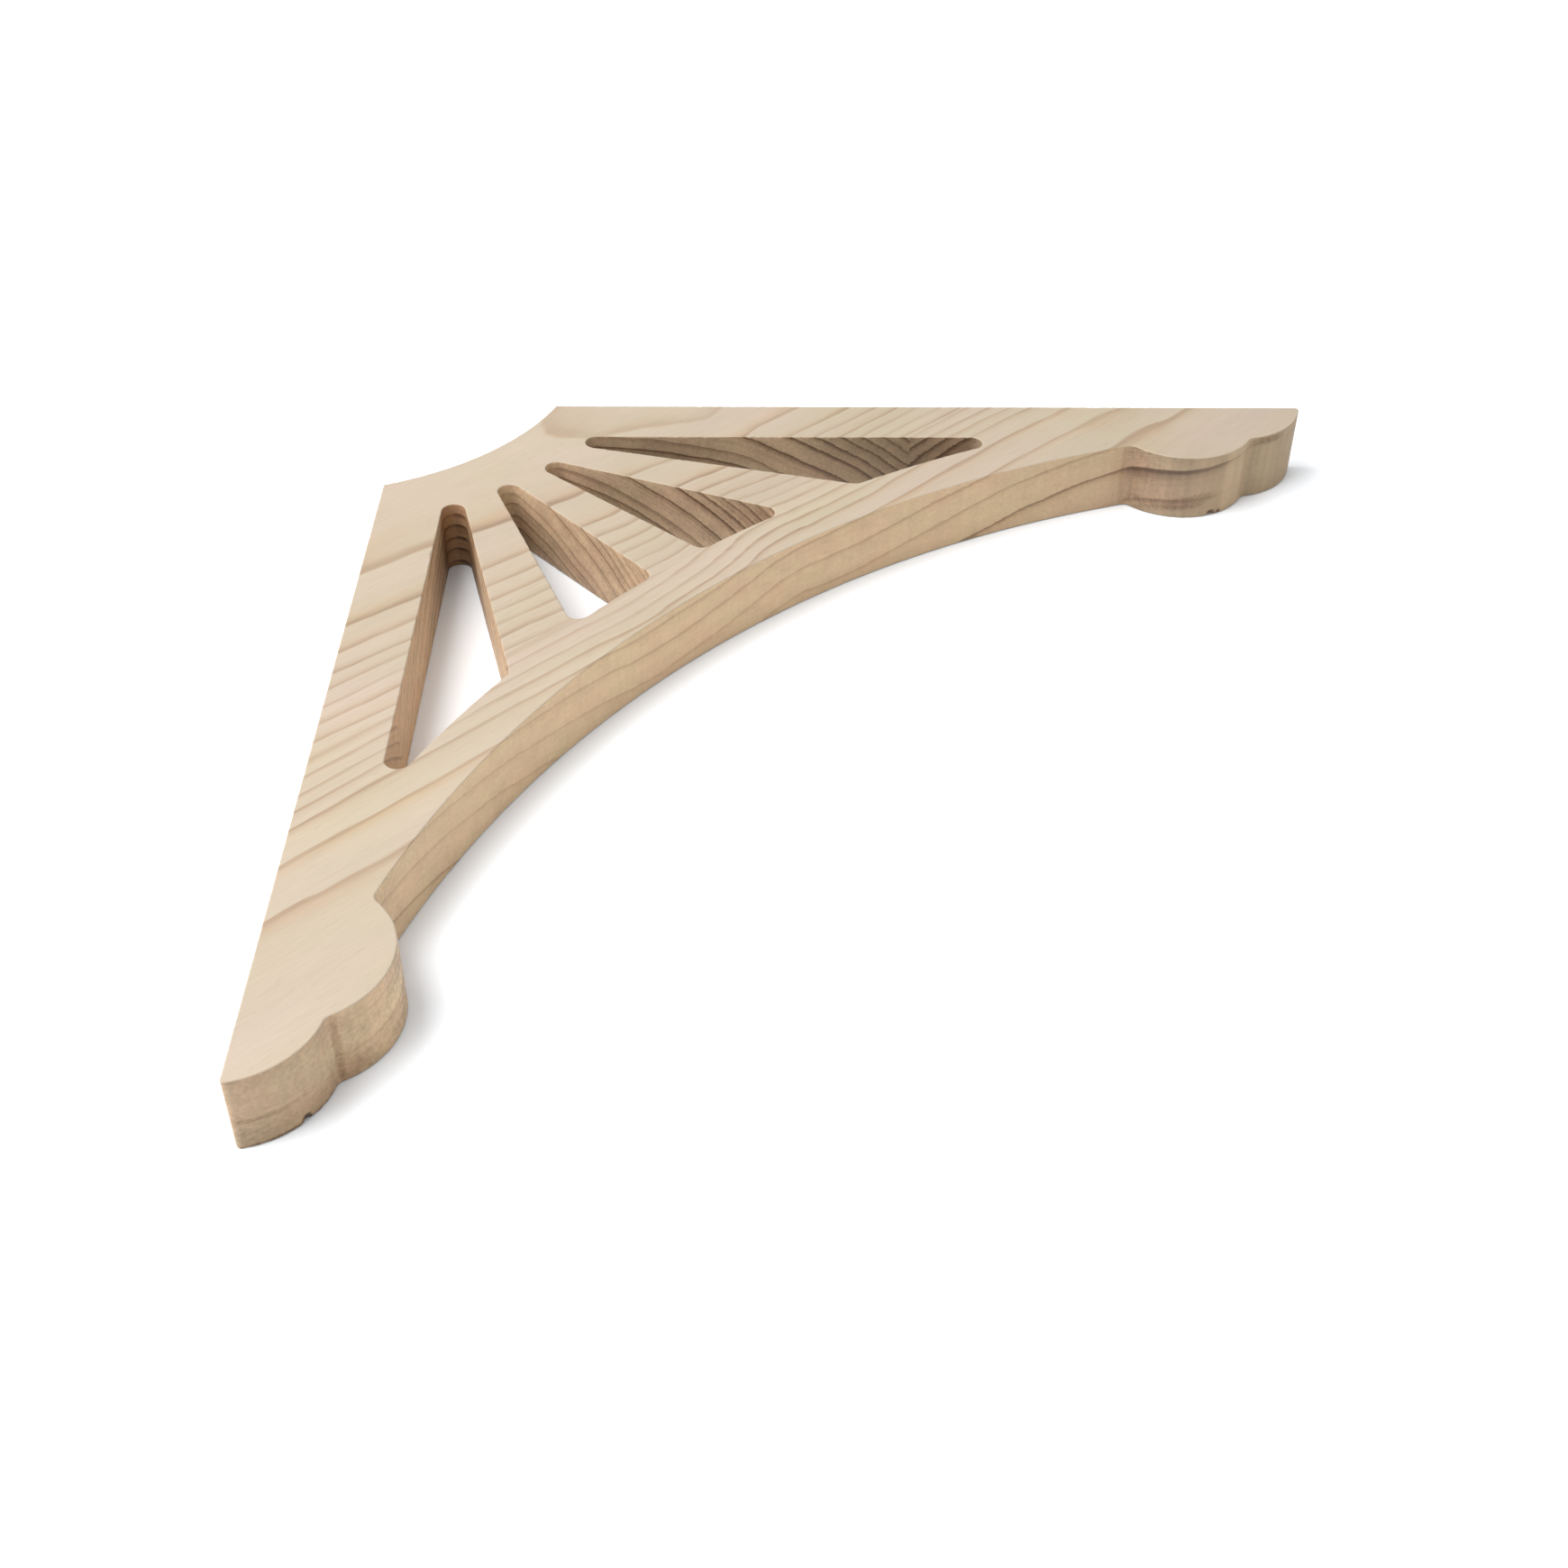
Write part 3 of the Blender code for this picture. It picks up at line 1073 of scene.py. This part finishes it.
    def loops(self) -> list[Plan]:
        """The edge, then the four slots, each with the wood on its left.

        Returns:
            One array of points for each.
        """
        slots = [self.slot(self.outer_slot), self.slot(self.inner_slot)]
        slots += [self.mirrored(points) for points in slots]
        around = [self.edge()] + slots
        wanted = [1.0] + [-1.0] * len(slots)
        return [p if np.sign(area(p)) == way else p[::-1] for p, way in zip(around, wanted)]


@dataclass(frozen=True)
class Chip:
    """A splinter lost from the lower arris.

    Attributes:
        place: its middle on the plan.
        half_width: half its width along the edge.
        depth: how far in it goes at the underside.
        height: how far up the wall it goes.
    """

    place: complex
    half_width: float
    depth: float
    height: float


@dataclass(frozen=True)
class Tear:
    """A stretch of the upper arris that the cutter tore.

    Attributes:
        start: one end on the plan.
        end: the other end.
        depth: how much wider than the eased arris it gets at a middling tooth.
    """

    start: complex
    end: complex
    depth: float


class Draw(Enum):
    """A random curve round a loop, with what it adds to the loop's own seed."""

    TOP_ARRIS = 0
    LOW_ARRIS = 50
    RIPPLE = 100
    TEETH = 150


class Side(Enum):
    """A flat face of the board: the row of a strip that borders it, and which way it faces."""

    TOP = (0, 1)
    UNDER = (-1, -1)


@dataclass
class Board:
    """The bracket's board, a profile carried round the plan, with its flat faces filled.

    Attributes:
        name: the board's name.
        plan: the plan.
        thickness: height of the board.
        arris: radius to which the sharp edges are eased.
        arris_spread, arris_wave: how much that radius varies along an edge, and how quickly.
        arris_steps, wall_steps: steps round an arris, and down the wall between the two.
        guard: width of the flat row inside each arris that keeps the face's shading flat.
        chatter, chatter_wave, chatter_top: depth and length of the cutter's ripple, and its height,
            as a multiple of that depth, that is level with the wall. Nothing stands higher.
        grid, clear_of_rim: spacing of the faces' own points, and the share of it by which they
            stay off the rim.
        first_seed, seed_step: seed of the first loop, and how far apart the others' are.
        chips: splinters lost from the lower arris.
        tears, tooth, tooth_limit: torn stretches of the upper arris, the shortest distance between
            their teeth, and how many times the tear's depth a tooth is at most.
        bluntness: power by which a chip or a tear ends: the higher it is, the blunter.
        finish: the wood.
    """

    name: str = "bracket_board"
    plan: BracketPlan = field(default_factory=BracketPlan)
    thickness: float = THICKNESS_MM * MM
    arris: float = 0.55 * MM
    arris_spread: float = 0.08 * MM
    arris_wave: float = 3.0 * MM
    arris_steps: int = 4
    wall_steps: int = 7
    guard: float = 0.3 * MM
    chatter: float = 0.012 * MM
    chatter_wave: float = 2.5 * MM
    chatter_top: float = 2.0
    grid: float = 4.0 * MM
    clear_of_rim: float = 0.4
    first_seed: int = 1
    seed_step: int = 7
    chips: tuple[Chip, ...] = (
        Chip(0.0200 - 0.3890j, 1.4 * MM, 2.6 * MM, 2.6 * MM),
        Chip(0.0214 - 0.3869j, 1.8 * MM, 1.2 * MM, 1.2 * MM),
        Chip(0.3567 - 0.0412j, 1.7 * MM, 2.2 * MM, 2.0 * MM),
        Chip(0.3602 - 0.0395j, 1.0 * MM, 1.5 * MM, 1.4 * MM),
    )
    tears: tuple[Tear, ...] = (
        Tear(0.1500 - 0.0793j, 0.2050 - 0.1013j, 1.1 * MM),
        Tear(0.0820 - 0.0269j, 0.2600 - 0.0269j, 0.35 * MM),
        Tear(0.0136 - 0.0900j, 0.0680 - 0.2100j, 0.5 * MM),
    )
    tooth: float = 1.6 * MM
    tooth_limit: float = 2.0
    bluntness: int = 4
    finish: PlanedPine = field(default_factory=PlanedPine)

    def strip(self, loop: Plan, seed: int) -> np.ndarray:
        """The arrises and the wall round one loop.

        The wall stands on the loop. Each arris is a quarter circle of its own radius r: at an angle t
        from the wall it lies r (1 - cos t) inside the loop and r (1 - sin t) from the face. One more
        row, guard further in, keeps the face's own shading flat.

        A tear adds its depth times the teeth to the top radius, within a bell 1 mm wide about its
        line and short of its ends. A chip takes the low arris over to its own depth and height by
        the share exp(-(distance / half width) to the power bluntness).

        Args:
            loop: the loop, with the wood on its left.
            seed: number that fixes the small variations.

        Returns:
            Rows of points from the top face to the underside: an array of rows, points and x, y, z.
        """
        ahead = np.roll(loop, -1) - loop
        step = np.abs(ahead)
        length = float(step.sum())
        place = np.cumsum(step) - step
        way = ahead / step + np.roll(ahead / step, 1)
        outward = -1j * way / np.abs(way)

        waves = {
            Draw.TOP_ARRIS: self.arris_wave, Draw.LOW_ARRIS: self.arris_wave,
            Draw.TEETH: self.tooth, Draw.RIPPLE: self.chatter_wave,
        }
        drawn = {
            draw: smooth_noise(length, place, wave, seed + draw.value) for draw, wave in waves.items()
        }
        top = self.arris + self.arris_spread * drawn[Draw.TOP_ARRIS]
        low = self.arris + self.arris_spread * drawn[Draw.LOW_ARRIS]
        teeth = np.clip(drawn[Draw.TEETH], 0.0, self.tooth_limit)
        ripple = self.chatter * np.minimum(drawn[Draw.RIPPLE] - self.chatter_top, 0.0)
        for tear in self.tears:
            along = (loop - tear.start) / (tear.end - tear.start)
            off = np.abs(along.imag) * abs(tear.end - tear.start) / MM
            short = np.clip(1 - np.abs(2 * along.real - 1) ** self.bluntness, 0.0, 1.0)
            top = top + tear.depth * teeth * (short * np.exp(-off**2))

        angle = np.linspace(math.pi / 2, 0.0, self.arris_steps + 1)[:, None]
        inset = top * (1 - np.cos(angle))
        height = self.thickness - top * (1 - np.sin(angle))
        share = np.linspace(0.0, 1.0, self.wall_steps + 1)[1:-1, None]
        turn = angle[::-1]
        low_inset, low_height = low * (1 - np.cos(turn)), low * (1 - np.sin(turn))
        for chip in self.chips:
            lost = np.exp(-(np.abs(loop - chip.place) / chip.half_width) ** self.bluntness)
            low_inset = low_inset * (1 - lost) + chip.depth * (1 - np.cos(turn)) * lost
            low_height = low_height * (1 - lost) + chip.height * (1 - np.sin(turn)) * lost
        wall_height = (self.thickness - top) * (1 - share) + low_height[:1] * share
        guard_top, guard_low = inset[:1] + self.guard, low_inset[-1:] + self.guard
        insets = np.concatenate([guard_top, inset, 0 * wall_height, low_inset, guard_low])
        heights = np.concatenate([height[:1], height, wall_height, low_height, low_height[-1:]])
        softness = np.clip(1 - insets / self.arris, 0.0, 1.0)
        half = self.plan.leg / 2
        spot = loop - outward * (insets - ripple * softness)
        return np.stack([spot.real - half, spot.imag + half, heights], axis=-1)

    def face(self, rims: Sequence[np.ndarray]) -> tuple[np.ndarray, np.ndarray]:
        """Fills a flat face between its rims with triangles on an even grid of points.

        The grid's lines are shifted by half a step in turn. Its points are kept inside the outer
        rim, outside the others, and clear of all of them, and so are the triangles, by their
        middles.

        Args:
            rims: each rim's points in x, y, z, the outer one first.

        Returns:
            The grid's own points, and triangles that number the rims' points first, then the grid's.
        """
        rings = [rim[:, 0] + 1j * rim[:, 1] for rim in rims]
        rim = np.concatenate(rings)
        half = self.plan.leg / 2
        line = np.arange(-half, half, self.grid)
        offset = np.where(np.arange(line.size) % 2 == 1, self.grid / 2, 0.0)[:, None]
        free = (line[None, :] + offset + 1j * line[:, None]).ravel()
        free = free[inside(free, rings[0])]
        for ring in rings[1:]:
            free = free[~inside(free, ring)]
        gap = np.abs(rim[None, :] - free[:, None]).min(axis=1)
        free = free[gap > self.grid * self.clear_of_rim]

        points = np.concatenate([rim, free])
        firsts = np.cumsum([0] + [ring.size for ring in rings[:-1]])
        edges = [first + np.stack([np.arange(ring.size), np.roll(np.arange(ring.size), -1)], axis=-1)
                 for ring, first in zip(rings, firsts)]
        places = np.stack([points.real, points.imag], axis=-1)
        edges = np.concatenate(edges).tolist()
        result = delaunay_2d_cdt(places.tolist(), edges, [], WHOLE_HULL, MEETING)
        made, numbers = result[2], result[3]
        origin = np.array(next(zip(*numbers)))
        faces = origin[np.array(made)]
        middle = points[faces].mean(axis=1)
        keep = inside(middle, rings[0])
        for ring in rings[1:]:
            keep &= ~inside(middle, ring)
        level = np.full(free.size, rims[0][0, 2])
        return np.stack([free.real, free.imag, level], axis=-1), faces[keep]

    def mesh(self) -> bpy.types.Mesh:
        """Joins the strips and the two flat faces into one closed mesh.

        Returns:
            The mesh, with its faces outwards.
        """
        loops = self.plan.loops()
        seeds = self.first_seed + self.seed_step * np.arange(len(loops))
        strips = [self.strip(loop, int(seed)) for loop, seed in zip(loops, seeds)]
        points, faces, numbers, first = [], [], [], 0
        for strip in strips:
            number = first + np.arange(strip[..., 0].size).reshape(strip.shape[:2])
            after = np.roll(number, -1, axis=1)
            around = np.stack([number[:-1], number[1:], after[1:], after[:-1]], axis=-1)
            faces += around.reshape(-1, 4).tolist()
            points.append(strip.reshape(-1, 3))
            numbers.append(number)
            first += number.size
        for side in Side:
            row, way = side.value
            grid, corners = self.face([strip[row] for strip in strips])
            rim = np.concatenate([number[row] for number in numbers])
            corners = np.concatenate([rim, first + np.arange(len(grid))])[corners]
            points.append(grid)
            first += len(grid)
            where = np.concatenate(points)[corners]
            turn = np.cross(where[:, 1] - where[:, 0], where[:, 2] - where[:, 0])[:, 2]
            corners[turn * way < 0] = corners[turn * way < 0][:, ::-1]
            faces += corners.tolist()
        mesh = bpy.data.meshes.new(self.name)
        mesh.from_pydata(np.concatenate(points).tolist(), [], faces)
        mesh.shade_smooth()
        return mesh

    def build(self) -> bpy.types.Object:
        """Makes the board and dresses it.

        Returns:
            The board.
        """
        mesh = self.mesh()
        mesh.materials.append(self.finish.make())
        board = bpy.data.objects.new(self.name, mesh)
        bpy.context.scene.collection.objects.link(board)
        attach(board, "root")
        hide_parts("fretwork_bracket")
        return board


@dataclass(frozen=True)
class SoftLight:
    """A soft square light.

    Attributes:
        name: its name.
        place: where it hangs.
        aim: the point that it faces.
        side: its side.
        power: its power in watts.
    """

    name: str
    place: Triple
    aim: Triple
    side: float
    power: float

    def hang(self) -> None:
        """Hangs the light in the scene."""
        data = bpy.data.lights.new(self.name, "AREA")
        data.shape = "SQUARE"
        data.size = self.side
        data.energy = self.power
        lamp = bpy.data.objects.new(self.name, data)
        lamp.location = self.place
        way = Vector(self.aim) - Vector(self.place)
        lamp.rotation_euler = way.to_track_quat("-Z", "Y").to_euler()
        bpy.context.scene.collection.objects.link(lamp)


@dataclass
class Studio:
    """The pale floor, the soft light and the camera.

    Attributes:
        floor_side, floor_level, floor_finish: the floor's size, its height and its paper.
        window: the one light.
        sky, sky_strength: the colour and strength of the light from all round.
        lens, sensor: the camera's lens and sensor in millimetres.
        nearest: the least distance that the camera sees.
        eye, aim: where the camera stands, and the point of the floor that it faces.
        roll: how far it leans to its left, in degrees.
    """

    floor_side: float = 12.0
    floor_level: float = -0.0002
    floor_finish: MattPaper = field(default_factory=MattPaper)
    window: SoftLight = SoftLight("window_left", (-1.0, -0.2, 1.45), (0.0, 0.0, 0.0), 1.4, 52.0)
    sky: str = "ffffff"
    sky_strength: float = 0.86
    lens: float = 45.70
    sensor: float = 36.0
    nearest: float = 0.01
    eye: Triple = (-0.04149, -0.59221, 0.47179)
    aim: Triple = (-0.03267, -0.02778, 0.0)
    roll: float = 0.597

    def camera(self) -> None:
        """Sets the camera at the photograph's viewing angle.

        Its right is the level direction square to the line of sight, turned about that line by the
        roll.
        """
        data = bpy.data.cameras.new("camera")
        data.sensor_width = self.sensor
        data.lens = self.lens
        data.clip_start = self.nearest
        camera = bpy.data.objects.new("camera", data)
        look = (Vector(self.aim) - Vector(self.eye)).normalized()
        level = look.cross(Vector((0.0, 0.0, 1.0))).normalized()
        lean = math.radians(self.roll)
        right = level * math.cos(lean) + level.cross(look) * math.sin(lean)
        turn = Matrix((right, right.cross(look), -look)).transposed()
        camera.matrix_world = Matrix.Translation(self.eye) @ turn.to_4x4()
        bpy.context.scene.collection.objects.link(camera)
        bpy.context.scene.camera = camera

    def floor(self) -> bpy.types.Object:
        """Lays the floor: a flat square, two by two corners of a grid.

        Returns:
            The floor.
        """
        half = self.floor_side / 2
        side = np.array([-half, half])
        across, away = np.meshgrid(side, side)
        corners = np.stack([across, away, np.full_like(across, self.floor_level)], axis=-1)
        mesh = bpy.data.meshes.new("studio_floor")
        mesh.from_pydata(corners.reshape(-1, 3).tolist(), [], [(0, 1, 3, 2)])
        mesh.materials.append(self.floor_finish.make())
        floor = bpy.data.objects.new("studio_floor", mesh)
        bpy.context.scene.collection.objects.link(floor)
        return floor

    def daylight(self) -> None:
        """Gives the world one even colour, and shows colours as they are."""
        world = bpy.data.worlds.new("studio")
        world.use_nodes = True
        back = world.node_tree.nodes["Background"]
        back.inputs["Color"].default_value = linear(self.sky)
        back.inputs["Strength"].default_value = self.sky_strength
        bpy.context.scene.world = world
        view = bpy.context.scene.view_settings
        view.view_transform = "Standard"
        view.look = "None"

    def build(self) -> bpy.types.Object:
        """Puts up the whole studio.

        Returns:
            The floor.
        """
        self.camera()
        floor = self.floor()
        self.window.hang()
        self.daylight()
        return floor


def main() -> None:
    """Builds the studio and the board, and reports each."""
    logging.basicConfig(level=logging.INFO, format="%(name)s: %(message)s")
    for part in (Studio(), Board()):
        piece = part.build()
        mesh = piece.data
        LOG.info("%s: %d triangles", piece.name, len(mesh.loops) - 2 * len(mesh.polygons))


if __name__ == "__main__":
    main()
